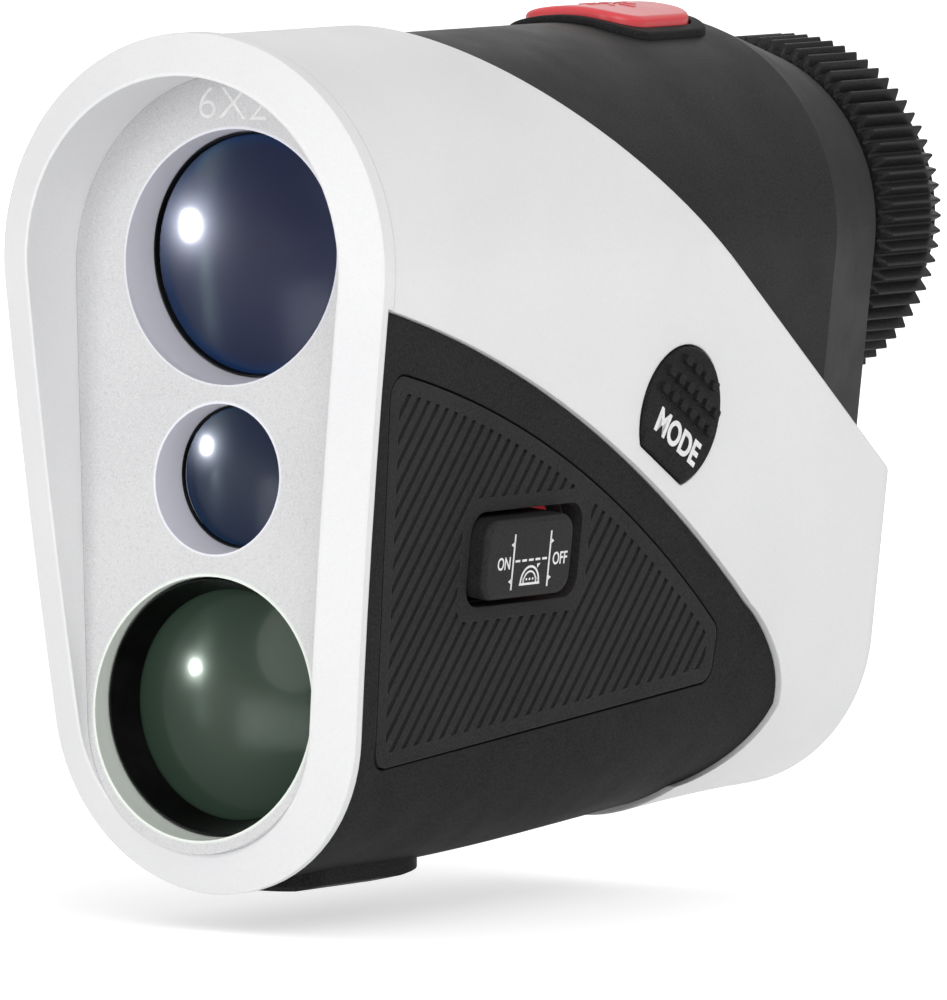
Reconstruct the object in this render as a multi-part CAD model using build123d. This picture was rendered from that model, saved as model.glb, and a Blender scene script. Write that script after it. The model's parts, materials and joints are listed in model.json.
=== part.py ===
from build123d import *
import math
import os
from collections import namedtuple

# Golf laser rangefinder: a tall 6x monocular body with three optical windows in a sloping front
# panel, a toothed diopter ring at the rear, a fire button on top, a mode button and a slope switch
# on the left flank, and a hinged battery door below the eyepiece.
#
# Frame: millimetres, +Z up, the windows face -Y and the eyepiece +Y. The user's left flank is +X.
# The shapes are drawn about the centre of the front bezel's outline. The written parts are moved so
# that the origin lies below the middle of the object, on the surface that its foot stands on.

# ---------------------------------------------------------------- driving dimensions
HEIGHT = 73.0
CROWN_RADIUS = 19.5
KEEL_RADIUS = 15.45
BODY_END = 83.5
FRONT_STOCK = -4.0

BEZEL_RIM = 3.6
BEZEL_SLOPE = 1.7
FRONT_LEAN = 0.4
FRONT_SETBACK = 3.1

SHELL_INSET = 0.3
GRIP_INSET = 0.8
UPPER_INSET = 1.2
CAVITY_INSET = 2.8

KEEL_RISE = 4.0
RISE_START = 20.0
RISE_LENGTH = 64.0

BEZEL_END = 7.2
FRONT_BOW = 0.566

OPTICAL_Z = 17.4
EMITTER_Z = -1.3
RECEIVER_Z = -20.6
LENS_EDGE = 2.4
LENS_GAP = 0.15
REAR_SAG = 0.6
SEAT_WALL = 0.55
SEAT_LENGTH = 4.6

PANEL_Y = 3.3
PANEL_SLOPE = 0.10
PANEL_THICKNESS = 2.0

EYECUP_LENGTH = 3.0

FOOT_DROP = 0.1
FOOT_PROUD = 1.3
FOOT_SUNK = 0.8
FOOT_WIDTH = 10.0
FOOT_START = 8.5
TREAD_END = 21.0
FOOT_END = 29.0

INLAY_DEPTH = 0.95
INLAY_GAP = 0.22
INLAY_MARGIN = 1.3
RIB_PITCH = 1.75
RIB_WIDTH = 0.62
RIB_DEPTH = 0.32
RIB_ANGLE = 54.0

SPLIT_Y = 75.86
SPLIT_SLOPE = 0.70
SPLIT_GAP = 0.15

SHOULDER_Y = 71.3
SHOULDER_INSET = 3.0
UPPER_END = 82.3
REAR_WALL_Y = 81.5

RING_RADIUS = 15.6
RING_START = 84.3
RING_LENGTH = 8.7
RING_TEETH = 72
TOOTH_DEPTH = 0.75
TUBE_RADIUS = 12.6

BUTTON_Y = 62.5
BUTTON_SIDE = 11.9
BUTTON_PROUD = 1.4
BUTTON_SLOT = 0.5
BUTTON_CORNER = 3.2
PAD_SIDE = 14.4
PAD_PROUD = 0.65
STEM_SIDE = 6.6

MODE_Y = 47.3
MODE_S = 2.3
MODE_RADIUS = 6.05
MODE_ANGLE = -28.9
MODE_CHORD = 4.6
STUD_PITCH = 1.72
STUD_PROUD = 0.45

SWITCH_Y = 24.35
SWITCH_S = -8.4
SWITCH_LENGTH = 13.3
SWITCH_HEIGHT = 6.9
SWITCH_PROUD = 1.5
SWITCH_TRAVEL = 3.0
TRAY_FLOOR = -4.4
TRAY_BACK = -5.2

BATTERY_RADIUS = 7.8
BATTERY_LENGTH = 26.5
BATTERY_Z = -18.6
BATTERY_START = 53.6
WELL_RADIUS = 9.2

PRISM_CASE_HALF = 11.0
PRISM_CASE_START = 42.0
PRISM_CASE_END = 69.6
PRISM_CASE_WALL = 1.2

BOARD_TOP = -1.8
BOARD_START = 44.0
BOARD_END = 69.9

DOOR_HALF_WIDTH = 9.4
DOOR_TOP = -9.3
HINGE_Y = 82.2
HINGE_Z = -26.3
HINGE_PIN_RADIUS = 0.6
KNUCKLE_RADIUS = 1.3

# ---------------------------------------------------------------- derived geometry
CROWN_Z = HEIGHT / 2 - CROWN_RADIUS
KEEL_Z = -HEIGHT / 2 + KEEL_RADIUS
FLANK_SINE = (CROWN_RADIUS - KEEL_RADIUS) / (CROWN_Z - KEEL_Z)
FLANK_COSINE = math.sqrt(1 - FLANK_SINE ** 2)
FLANK_X = (CROWN_RADIUS - CROWN_Z * FLANK_SINE) / FLANK_COSINE
DOME_RADIUS = CROWN_RADIUS - UPPER_INSET
SLOT_LENGTH = SWITCH_TRAVEL + 2.8
WINDOW_MIDDLE = SWITCH_Y + SWITCH_TRAVEL / 2


def across(y):
    """Plane of a cross-section at y: local x is +X, local y is +Z, extrusion runs to -Y."""
    return Plane(origin=(0, y, 0), x_dir=(1, 0, 0), z_dir=(0, -1, 0))


def lift(y):
    """How far the underside has risen at y, a smooth step towards the rear."""
    t = min(max((y - RISE_START) / RISE_LENGTH, 0.0), 1.0)
    return KEEL_RISE * t * t * (3 - 2 * t)


def outline(inset=0.0, rise=0.0):
    """Body cross-section: a crown circle and a smaller keel circle, joined by their tangents."""
    climb = rise / (1 + FLANK_SINE)
    keel_radius = KEEL_RADIUS + climb * FLANK_SINE - inset
    crown = Pos(0, CROWN_Z) * Circle(CROWN_RADIUS - inset)
    keel = Pos(0, KEEL_Z + climb) * Circle(keel_radius)
    return make_hull(crown.edges() + keel.edges())


def straight(inset, start, end):
    """Body section carried along Y without any rise."""
    return extrude(across(end) * outline(inset), amount=end - start)


def body(inset, start=FRONT_STOCK, end=BODY_END):
    """Solid of the whole body at an inset, with the rising underside at the rear."""
    stations = [RISE_START + RISE_LENGTH * step / 6 for step in range(6)] + [end]
    sections = [across(y) * outline(inset, lift(y)) for y in stations]
    return straight(inset, start, RISE_START) + loft(sections)


def tapered(first_inset, last_inset, start, end, rise=0.0):
    """Body section whose inset grows steadily from start to end."""
    first = across(start) * outline(first_inset, rise)
    last = across(end) * outline(last_inset, rise)
    return loft([first, last], ruled=True)


def flank(offset=0.0):
    """Plane of the left flank: local x is +Y, local y climbs the flank, extrusion runs outwards."""
    normal = Vector(FLANK_COSINE, 0, -FLANK_SINE)
    return Plane(origin=Vector(FLANK_X, 0, 0) + normal * offset, x_dir=(0, 1, 0), z_dir=normal)


def on_flank(sketch, low, high):
    """Solid standing on the left flank between two offsets from the bezel's outline."""
    return extrude(flank(low) * sketch, amount=high - low)


def side_profile(points_or_edges, half_width=30.0):
    """Closed outline in (y, z), carried across the full width of the body."""
    face = make_face(points_or_edges)
    plane = Plane(origin=(-half_width, 0, 0), x_dir=(0, 1, 0), z_dir=(1, 0, 0))
    return extrude(plane * face, amount=2 * half_width)


def rod(radius, start, end, x=0.0, z=OPTICAL_Z):
    """Cylinder along Y."""
    return extrude(across(end) * Pos(x, z) * Circle(radius), amount=end - start)


def tube(outer, inner, start, end, z=OPTICAL_Z):
    """Plain tube along Y."""
    return rod(outer, start, end, z=z) - rod(inner, start, end, z=z)


def turned(profile, z=OPTICAL_Z):
    """Solid of revolution about a line along Y; the profile lists (radius, y)."""
    face = make_face(Polyline(*profile, close=True))
    return Pos(0, 0, z) * revolve(face, axis=Axis.Y)


def cross_rod(radius, y, z, low, high):
    """Cylinder along X."""
    plane = Plane(origin=(low, y, z), x_dir=(0, 1, 0), z_dir=(1, 0, 0))
    return extrude(plane * Circle(radius), amount=high - low)


def block(x, y, z):
    """Box from three (low, high) pairs."""
    size = [high - low for low, high in (x, y, z)]
    centre = [(high + low) / 2 for low, high in (x, y, z)]
    return Pos(*centre) * Box(*size)


def upright(sketch, low, high):
    """Solid standing along Z from a plan sketch in (x, y)."""
    return extrude(Plane.XY.offset(low) * sketch, amount=high - low)


def lens(radius, start, edge, front_sag, rear_sag, z=OPTICAL_Z):
    """Biconvex lens: start is the y of the rim of its front face."""
    front_radius = (radius ** 2 + front_sag ** 2) / (2 * front_sag)
    rear_radius = (radius ** 2 + rear_sag ** 2) / (2 * rear_sag)
    stock = rod(radius, start - front_sag - 1, start + edge + rear_sag + 1, z=z)
    front = Pos(0, start - front_sag + front_radius, z) * Sphere(front_radius)
    rear = Pos(0, start + edge + rear_sag - rear_radius, z) * Sphere(rear_radius)
    return stock & front & rear


def mirrored(shape):
    """The same feature on the right flank."""
    return mirror(shape, about=Plane.YZ)


# ---------------------------------------------------------------- dividing surfaces
def front_edge(offset):
    """Everything ahead of the bezel's leaning, slightly bowed front edge."""
    top = (offset - FRONT_LEAN, HEIGHT / 2)
    middle = (offset, 0)
    bottom = (offset + FRONT_SETBACK, -HEIGHT / 2)
    over = (offset - FRONT_LEAN, HEIGHT)
    under = (offset + FRONT_SETBACK, -HEIGHT)
    far_under = (-HEIGHT, -HEIGHT)
    far_over = (-HEIGHT, HEIGHT)
    edges = Line(over, top) + ThreePointArc(top, middle, bottom)
    edges += Polyline(bottom, under, far_under, far_over, over)
    return side_profile(edges)


def split_height(y):
    """Height of the diagonal split between the white shell and the black housing at y."""
    return (SPLIT_Y - y) * SPLIT_SLOPE


def above_split(gap):
    """Everything above the diagonal split, moved up by a gap."""
    rise = gap * math.sqrt(1 + SPLIT_SLOPE ** 2)
    near, far = 0.0, 120.0
    low = (far, split_height(far) + rise)
    high = (near, split_height(near) + rise)
    return side_profile(Polyline(low, high, (near, 80), (far, 80), low))


def grip_zone(gap):
    """The grip's field: behind the bezel, below a long arc, and ending in a rounded tail."""
    start = 0.8 + gap
    top_left = (-3.0, 14.7 - gap)
    arc_middle = (29.3, 4.3 - gap)
    arc_end = (61.7 - gap / 2, -14.9 - gap)
    tail = (69.0 - gap, -24.2)
    keel = (61.0 - gap, -31.2)
    edges = ThreePointArc(top_left, arc_middle, arc_end)
    edges += ThreePointArc(arc_end, (67.0 - gap, -20.0 - gap / 2), tail)
    edges += ThreePointArc(tail, (66.9 - gap, -28.2), keel)
    edges += Polyline(keel, (50.0, -50.0), (-3.0, -50.0), top_left)
    return side_profile(edges) - front_edge(start)


# ---------------------------------------------------------------- flank sketches, in (y, s)
def rib_field(grow=0.0):
    """Rounded triangular field of the ribbed panel."""
    corner_top = (3.0, 8.4)
    arc_middle = (31.0, -0.7)
    nose_top = (57.4, -16.9)
    nose_bottom = (57.0, -21.5)
    corner_bottom = (6.2, -25.7)
    edges = ThreePointArc(corner_top, arc_middle, nose_top)
    edges += Polyline(nose_top, nose_bottom, corner_bottom, corner_top)
    face = make_face(edges)
    face = fillet(face.vertices(), 1.6)
    return offset(face, grow) if grow else face


def switch_window(grow=0.0):
    """Window the slope slider moves in."""
    length = SWITCH_LENGTH + SWITCH_TRAVEL + 0.6
    return Pos(WINDOW_MIDDLE, SWITCH_S - 0.1) * RectangleRounded(length + 2 * grow, 8.0 + 2 * grow, 1.9)


def switch_cap():
    """Outline of the slope slider's cap."""
    return Pos(SWITCH_Y, SWITCH_S) * RectangleRounded(SWITCH_LENGTH, SWITCH_HEIGHT, 1.7)


def mode_disc(grow=0.0):
    """Round mode key, cut by a chord that runs along the grip's edge."""
    radius = MODE_RADIUS + grow
    cutter = Pos(0, -MODE_CHORD - grow - radius) * Rectangle(4 * radius, 2 * radius)
    disc = fillet((Circle(radius) - cutter).vertices(), 0.6)
    return Pos(MODE_Y, MODE_S) * Rot(0, 0, MODE_ANGLE) * disc


# ---------------------------------------------------------------- body shells
def bezel():
    """Front frame with its sloping face, open in the middle down to the panel."""
    frame = straight(0, FRONT_STOCK, BEZEL_END) - front_edge(-BEZEL_SLOPE)
    rim = frame.faces().sort_by(Axis.Y)[0]
    slope_edges = rim.outer_wire().edges()
    frame = chamfer(slope_edges, length=BEZEL_RIM - 0.3, length2=BEZEL_SLOPE, reference=rim)
    past = BEZEL_END + 1
    behind = straight(-1, FRONT_STOCK, past) - straight(SHELL_INSET, FRONT_STOCK, past)
    behind = behind - front_edge(1.6)
    return frame - behind - straight(BEZEL_RIM, FRONT_STOCK - 4, past)


def cavity():
    """Room inside the shells, closing in towards the rear wall."""
    main = body(CAVITY_INSET, BEZEL_END, BODY_END + 2)
    main = main & block((-30, 30), (BEZEL_END, SHOULDER_Y), (-50, 50))
    tail = tapered(CAVITY_INSET, CAVITY_INSET + 1.6, SHOULDER_Y, REAR_WALL_Y, lift(SHOULDER_Y))
    return main + tail


def front_shell():
    """White moulding: bezel, two diagonal side bands and the lower rear wall."""
    walls = body(SHELL_INSET, FRONT_STOCK, BODY_END)
    rear = walls.faces().sort_by(Axis.Y)[-1]
    walls = fillet(rear.edges(), 2.2)
    walls = walls - cavity() - door_hole() - lanyard_notch() - lanyard_bar() - door_pin()
    walls = walls - front_edge(1.0) - straight(BEZEL_RIM, FRONT_STOCK, BEZEL_END + 1)
    shell = walls + bezel() - above_split(0) - on_flank(mode_disc(0.2), -6, 3)
    return shell - (grip_zone(0) - straight(CAVITY_INSET, FRONT_STOCK, BEZEL_END + 1))


def door_hole():
    """Opening of the battery door in the rear wall."""
    x = DOOR_HALF_WIDTH + 0.25
    return block((-x, x), (78, 86), (HINGE_Z - 1.6, DOOR_TOP + 0.3))


def door_pin():
    """Hinge pin of the battery door."""
    return cross_rod(HINGE_PIN_RADIUS, HINGE_Y, HINGE_Z, -11.2, 11.2)


def lanyard_notch():
    """Notch for the wrist strap in the right rear edge."""
    return block((-20, -11.6), (79.6, 86), (-17.0, -11.0))


def lanyard_bar():
    """Upright bar across the notch, for the strap."""
    return Pos(-13.6, 81.6, -14.0) * Cylinder(0.8, 8.0)


def upper_housing():
    """Black moulding over the optics, tapering to the eyepiece."""
    outer = straight(UPPER_INSET, 20, SHOULDER_Y)
    outer += tapered(UPPER_INSET, UPPER_INSET + SHOULDER_INSET, SHOULDER_Y, UPPER_END)
    inner = straight(CAVITY_INSET, 10, SHOULDER_Y)
    inner += tapered(CAVITY_INSET, CAVITY_INSET + 2.4, SHOULDER_Y, UPPER_END - 2)
    housing = (outer - inner) & above_split(SPLIT_GAP)
    housing -= rod(TUBE_RADIUS + 0.05, 76, 90)
    housing -= upright(button_hole(), 30, 40) - crown(DOME_RADIUS - 0.8)
    return housing - upright(Pos(0, BUTTON_Y) * Rectangle(STEM_SIDE + 0.6, STEM_SIDE + 0.6), 30, 40)


def button_hole():
    """Plan of the opening around the fire button."""
    side = BUTTON_SIDE + BUTTON_SLOT
    return Pos(0, BUTTON_Y) * RectangleRounded(side, side, BUTTON_CORNER)


def crown(radius):
    """Cylinder concentric with the crown, under the fire button."""
    return rod(radius, BUTTON_Y - 20, BUTTON_Y + 20, z=CROWN_Z)


def grip():
    """Black soft-touch grip, wrapped around both flanks and the keel."""
    wrap = body(GRIP_INSET, FRONT_STOCK, BODY_END) - body(CAVITY_INSET, FRONT_STOCK, BODY_END)
    wrap = wrap & grip_zone(SPLIT_GAP)
    pocket = on_flank(rib_field(INLAY_GAP), -GRIP_INSET - INLAY_DEPTH - 0.05, 3)
    window = on_flank(switch_window(0.1), -8, 3)
    wrap = wrap - pocket - mirrored(pocket) - window
    return wrap - foot_blank(0.0) - keel_screws()


def ribs():
    """Slanting grooves of a ribbed panel, as cutters in flank coordinates."""
    groove = Rot(0, 0, RIB_ANGLE) * RectangleRounded(60, RIB_WIDTH, 0.3)
    first = (-8, -8)
    return Sketch() + [Pos(first[0] + step * RIB_PITCH, first[1]) * groove for step in range(46)]


def rib_panel(with_switch):
    """Ribbed rubber inlay of one flank."""
    panel = on_flank(rib_field(), -GRIP_INSET - INLAY_DEPTH, -GRIP_INSET)
    field = offset(rib_field(), -INLAY_MARGIN)
    if with_switch:
        field = field - switch_window(INLAY_MARGIN)
    panel = panel - on_flank(ribs() & field, -GRIP_INSET - RIB_DEPTH, 1)
    return panel - on_flank(switch_window(0.1), -8, 3) if with_switch else mirrored(panel)


def foot_blank(proud):
    """Foot on the keel, with a flat tread that runs out in a ramp to the rear."""
    tread = -HEIGHT / 2 - FOOT_DROP
    middle = (FOOT_START + FOOT_END) / 2
    plan = Pos(0, middle) * RectangleRounded(FOOT_WIDTH, FOOT_END - FOOT_START, 4.0)
    column = upright(plan, tread, -25)
    column = chamfer(column.faces().sort_by(Axis.Z)[0].edges(), 0.45)
    skin_end = -HEIGHT / 2 + GRIP_INSET + lift(FOOT_END)
    ramp = [(TREAD_END, tread), (FOOT_END, skin_end), (FOOT_END, tread - 5), (TREAD_END, tread - 5)]
    column -= side_profile(Polyline(*ramp, close=True))
    radius = KEEL_RADIUS - GRIP_INSET
    skin = tube(radius + proud, radius - FOOT_SUNK, FOOT_START - 5, FOOT_END + 5, z=KEEL_Z)
    return column & skin


def keel_screws():
    """Countersunk screws along the keel."""
    screws = []
    for y in (44.0, 58.0):
        low = -HEIGHT / 2 + lift(y) + GRIP_INSET + 0.35
        screws.append(Pos(0, y, low + 0.5) * Cylinder(1.7, 1.0))
        screws.append(Pos(0, y, low + 2.2) * Cylinder(0.8, 2.4))
    return Part() + screws


# ---------------------------------------------------------------- front optics
def sloping_slab(inset, thickness, start=0.0):
    """Slab of the front panel's plane, filling the outline at an inset."""
    def panel_y(z):
        return PANEL_Y + PANEL_SLOPE * z + start
    low, high = -HEIGHT / 2, HEIGHT / 2
    corners = [(panel_y(low), low), (panel_y(high), high)]
    corners += [(panel_y(high) + thickness, high), (panel_y(low) + thickness, low)]
    return side_profile(Polyline(*corners, close=True)) & straight(inset, FRONT_STOCK, 20)


# Of each window: height, radius at the mouth, radius at the lens, radius of the lens in its seat, y of
# the seat, length and wall of the black stop ring, and how far the lens bulges forwards.
Window = namedtuple("Window", "z mouth clear seat lens_y ring_length ring_wall bulge")
WINDOWS = {
    "objective": Window(OPTICAL_Z, 10.8, 10.4, 10.9, 9.5, 0.9, 0.25, 0.75),
    "emitter": Window(EMITTER_Z, 6.35, 6.1, 6.5, 7.4, 0.7, 0.2, 0.5),
    "receiver": Window(RECEIVER_Z, 11.1, 10.85, 11.3, 6.3, 3.4, 1.05, 1.8),
}


def lens_panel():
    """Silver panel with three sunk windows and the seats of their lenses."""
    panel = sloping_slab(BEZEL_RIM + 0.01, PANEL_THICKNESS)
    for window in WINDOWS.values():
        start, end = window.lens_y - SEAT_LENGTH, window.lens_y + LENS_EDGE
        panel += rod(window.seat + SEAT_WALL, start, end, z=window.z)
    panel -= sloping_slab(0, -12.0)
    for window in WINDOWS.values():
        ahead, throat = FRONT_STOCK - 2, window.lens_y - SEAT_LENGTH + 0.1
        funnel = [(0, ahead), (window.mouth, ahead), (window.mouth, throat)]
        funnel += [(window.clear, window.lens_y), (0, window.lens_y)]
        panel -= turned(funnel, z=window.z)
        panel -= rod(window.seat, window.lens_y, 30, z=window.z)
    return panel


def window_lens(window):
    """Lens of one window, seated in the panel."""
    return lens(window.seat, window.lens_y + LENS_GAP, LENS_EDGE, window.bulge, REAR_SAG, z=window.z)


def window_ring(window):
    """Black stop ring in front of a lens, lining the window's wall and closing in to the glass."""
    outer = window.clear - 0.02
    start, end = window.lens_y - window.ring_length, window.lens_y - 0.4
    profile = [(outer, start), (outer, end), (outer - window.ring_wall, end), (outer - 0.12, start)]
    return turned(profile, z=window.z)


def behind_lens(name):
    """Where the barrel behind a window's lens begins."""
    return WINDOWS[name].lens_y + LENS_EDGE + REAR_SAG + 0.1


def objective_barrel():
    """Blackened barrel from the objective to the prisms."""
    start = behind_lens("objective")
    profile = [(11.3, start), (11.3, start + 4), (10.2, start + 5), (10.2, 41.9), (9.0, 41.9)]
    return turned(profile + [(9.0, start + 5), (10.1, start)])


def emitter_barrel():
    """Barrel of the laser emitter."""
    start = behind_lens("emitter")
    profile = [(6.3, start), (6.3, start + 3), (5.2, start + 5), (5.2, 34)]
    return turned(profile + [(4.2, 34), (4.2, start + 5), (5.4, start)], z=EMITTER_Z)


def receiver_barrel():
    """Light cone of the receiver."""
    start = behind_lens("receiver")
    profile = [(10.9, start), (10.9, start + 2), (6.4, 34), (6.4, 38), (5.0, 38), (5.0, 34), (9.6, start)]
    return turned(profile, z=RECEIVER_Z)


def bulkhead(start, holes):
    """Inner frame across the body with holes for the barrels."""
    plate = extrude(across(start + 1.6) * outline(3.0, lift(start + 1.6)), amount=1.6)
    for radius, z in holes:
        plate -= rod(radius, start - 1, start + 3, z=z)
    return plate


# ---------------------------------------------------------------- rear optics
def prism_housing():
    """Box that holds the prisms and the display."""
    case = prism_case(0)
    case -= prism_case(PRISM_CASE_WALL)
    return case - rod(8.6, PRISM_CASE_START - 1, PRISM_CASE_END + 1)


def prism_case(inset):
    """Block of the prism housing at an inset."""
    side = PRISM_CASE_HALF + 0.5 - inset
    height = PRISM_CASE_HALF - inset
    ends = (PRISM_CASE_START + inset, PRISM_CASE_END - inset)
    return block((-side, side), ends, (OPTICAL_Z - height, OPTICAL_Z + height))


def prism():
    """Roof prism block with its bevelled faces."""
    points = [(44.0, 9.6), (56.0, 9.6), (63.0, 16.0), (63.0, 25.2), (51.0, 25.2), (44.0, 18.8)]
    return side_profile(Polyline(*points, close=True), half_width=8.0)


def display_panel():
    """Transparent display in front of the eyepiece."""
    return block((-8.0, 8.0), (65.2, 66.2), (OPTICAL_Z - 8, OPTICAL_Z + 8))


def eyepiece_tube():
    """Fixed tube that carries the diopter ring, with a flange on the rear wall."""
    barrel = tube(TUBE_RADIUS, 11.3, 70.0, 92.0)
    return barrel + tube(14.1, TUBE_RADIUS - 0.5, UPPER_END, RING_START - 0.3)


def toothed_disc(tip, root, count):
    """Plan of a toothed ring with straight-flanked teeth."""
    corners = []
    for tooth in range(count):
        for radius, shift in ((tip, 0.0), (root, 0.5)):
            angle = 2 * math.pi * (tooth + shift) / count
            corners.append((radius * math.cos(angle), radius * math.sin(angle)))
    return make_face(Polyline(*corners, close=True))


def diopter_ring():
    """Toothed focusing ring turning on the eyepiece tube."""
    end = RING_START + RING_LENGTH
    teeth = toothed_disc(RING_RADIUS, RING_RADIUS - TOOTH_DEPTH, RING_TEETH)
    ring = extrude(across(end) * Pos(0, OPTICAL_Z) * teeth, amount=RING_LENGTH)
    ring -= rod(TUBE_RADIUS + 0.05, RING_START - 1, end - 0.8)
    return ring - rod(10.8, RING_START, end + 1)


def eyecup():
    """Soft rubber cup on the back of the diopter ring."""
    start = RING_START + RING_LENGTH
    end = start + EYECUP_LENGTH
    profile = [(13.2, start), (13.4, start + 1.8), (12.6, end), (11.4, end)]
    return turned(profile + [(10.8, start + 1.6), (10.8, start)])


def eyepiece_cell():
    """Sliding lens cell inside the eyepiece tube."""
    return tube(11.25, 10.0, 72.0, 90.4)


# ---------------------------------------------------------------- electronics
def main_board():
    """Control board above the battery."""
    board = block((-12, 12), (BOARD_START, BOARD_END), (BOARD_TOP - 1.2, BOARD_TOP))
    return board - [Pos(side * 10, BOARD_START + 2.5, BOARD_TOP) * Cylinder(1.1, 4) for side in (-1, 1)]


def board_chips():
    """Processor, converter and connector standing on the control board."""
    processor = block((-4, 4), (50, 58), (BOARD_TOP, BOARD_TOP + 1.1))
    converter = block((5.5, 9.5), (51, 55), (BOARD_TOP, BOARD_TOP + 0.9))
    connector = block((-9, -6), (58, 68), (BOARD_TOP, BOARD_TOP + 2.4))
    memory = block((2, 7), (62, 69), (BOARD_TOP, BOARD_TOP + 1.4))
    return processor + converter + connector + memory


def fire_switch():
    """Tact switch under the fire button."""
    case = block((-3, 3), (BUTTON_Y - 3, BUTTON_Y + 3), (29.5, 31.0))
    return case + Pos(0, BUTTON_Y, 31.2) * Cylinder(1.6, 0.5)


def mode_switch():
    """Tact switch behind the mode key, on its own small board."""
    centre = Pos(MODE_Y, MODE_S)
    case = on_flank(centre * Rectangle(5, 5), -5.8, -4.6)
    return case + on_flank(centre * Circle(1.3), -4.6, -4.25)


# ---------------------------------------------------------------- controls
def fire_button():
    """Red fire button, domed with the crown, on a square stem with a retaining foot."""
    plan = Pos(0, BUTTON_Y) * RectangleRounded(BUTTON_SIDE, BUTTON_SIDE, 3.0)
    cap = upright(plan, 25, 45) & crown(DOME_RADIUS + BUTTON_PROUD)
    cap = fillet(cap.faces().sort_by(Axis.Z)[-1].outer_wire().edges(), 0.55)
    cap -= crown(DOME_RADIUS)
    low = 32.2
    stem = upright(Pos(0, BUTTON_Y) * Rectangle(STEM_SIDE, STEM_SIDE), low, 35.6)
    foot = upright(Pos(0, BUTTON_Y) * Rectangle(STEM_SIDE + 2.2, STEM_SIDE + 2.2), low, low + 0.6)
    return cap + stem + foot


def button_surround():
    """Raised pad around the fire button."""
    outer = Pos(0, BUTTON_Y) * RectangleRounded(PAD_SIDE, PAD_SIDE, 3.6)
    pad = upright(outer, 25, 45) & crown(DOME_RADIUS + PAD_PROUD)
    pad = fillet(pad.faces().sort_by(Axis.Z)[-1].outer_wire().edges(), 0.35)
    return pad - upright(button_hole(), 20, 50) - crown(DOME_RADIUS)


def mode_button():
    """Mode key with three rows of grip studs and a retaining flange."""
    key = on_flank(mode_disc(), -3.4, 0.0)
    key = fillet(key.faces().sort_by(Axis.X)[-1].outer_wire().edges(), 0.25)
    key += on_flank(mode_disc(0.8), -3.6, -3.0)
    for row, count, first in ((4.2, 4, -2.65), (2.35, 6, -4.4), (0.65, 6, -4.4)):
        for step in range(count):
            stud = Pos(first + step * STUD_PITCH, row) * RectangleRounded(0.95, 0.85, 0.25)
            key += on_flank(Pos(MODE_Y, MODE_S) * Rot(0, 0, MODE_ANGLE) * stud, -0.2, STUD_PROUD)
    return key


def slope_tray():
    """Tray that the slope slider runs in, open outwards."""
    tray = on_flank(switch_window(0.95), TRAY_BACK, -CAVITY_INSET - 0.05)
    tray -= on_flank(switch_window(), TRAY_FLOOR, 0)
    return tray - on_flank(stem_slot(), -8, 0)


def stem_slot():
    """Slot that the slider's stem runs in."""
    return Pos(WINDOW_MIDDLE, SWITCH_S) * Rectangle(SLOT_LENGTH, 2.4)


def slope_slider():
    """Slider cap of the slope switch, with the stem that works the switch inside."""
    proud = SWITCH_PROUD - GRIP_INSET
    cap = on_flank(switch_cap(), -3.9, proud)
    cap = fillet(cap.faces().sort_by(Axis.X)[-1].outer_wire().edges(), 0.5)
    return cap + on_flank(Pos(SWITCH_Y, SWITCH_S) * Rectangle(2.2, 2.0), -6.0, -3.9)


def slope_flag():
    """Red flag on the tray's floor, seen when the slider leaves it."""
    centre = (WINDOW_MIDDLE + SWITCH_LENGTH / 2 - 1.4, SWITCH_S - 0.1)
    return on_flank(Pos(*centre) * RectangleRounded(5.0, 7.8, 1.7), TRAY_FLOOR, TRAY_FLOOR + 0.35)


def slide_switch():
    """Electrical slide switch behind the tray."""
    case = on_flank(Pos(WINDOW_MIDDLE, SWITCH_S) * Rectangle(11.0, 4.6), TRAY_BACK - 2.4, TRAY_BACK - 0.1)
    return case - on_flank(stem_slot(), TRAY_BACK - 1.0, TRAY_BACK + 0.2)


# ---------------------------------------------------------------- battery
def battery_tray():
    """Round battery well, closed at its front end."""
    start, end = 50.0, 79.6
    return rod(WELL_RADIUS, start, end, z=BATTERY_Z) - rod(WELL_RADIUS - 1.1, start + 1, end + 1, z=BATTERY_Z)


def battery():
    """CR2 cell with its raised contact."""
    end = BATTERY_START + BATTERY_LENGTH
    cell = rod(BATTERY_RADIUS, BATTERY_START, end, z=BATTERY_Z)
    cell = chamfer(cell.edges(), 0.4)
    return cell + rod(3.1, end - 0.5, end + 0.6, z=BATTERY_Z)


def contact_leaf():
    """Folded contact leaf at the front of the battery well."""
    low, high = BATTERY_Z - 4.5, BATTERY_Z + 4.5
    outer = [(51.1, low), (51.1, high), (51.4, high), (53.4, BATTERY_Z), (51.8, low + 0.6), (51.4, low)]
    return side_profile(Polyline(*outer, close=True), half_width=2.6)


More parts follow.
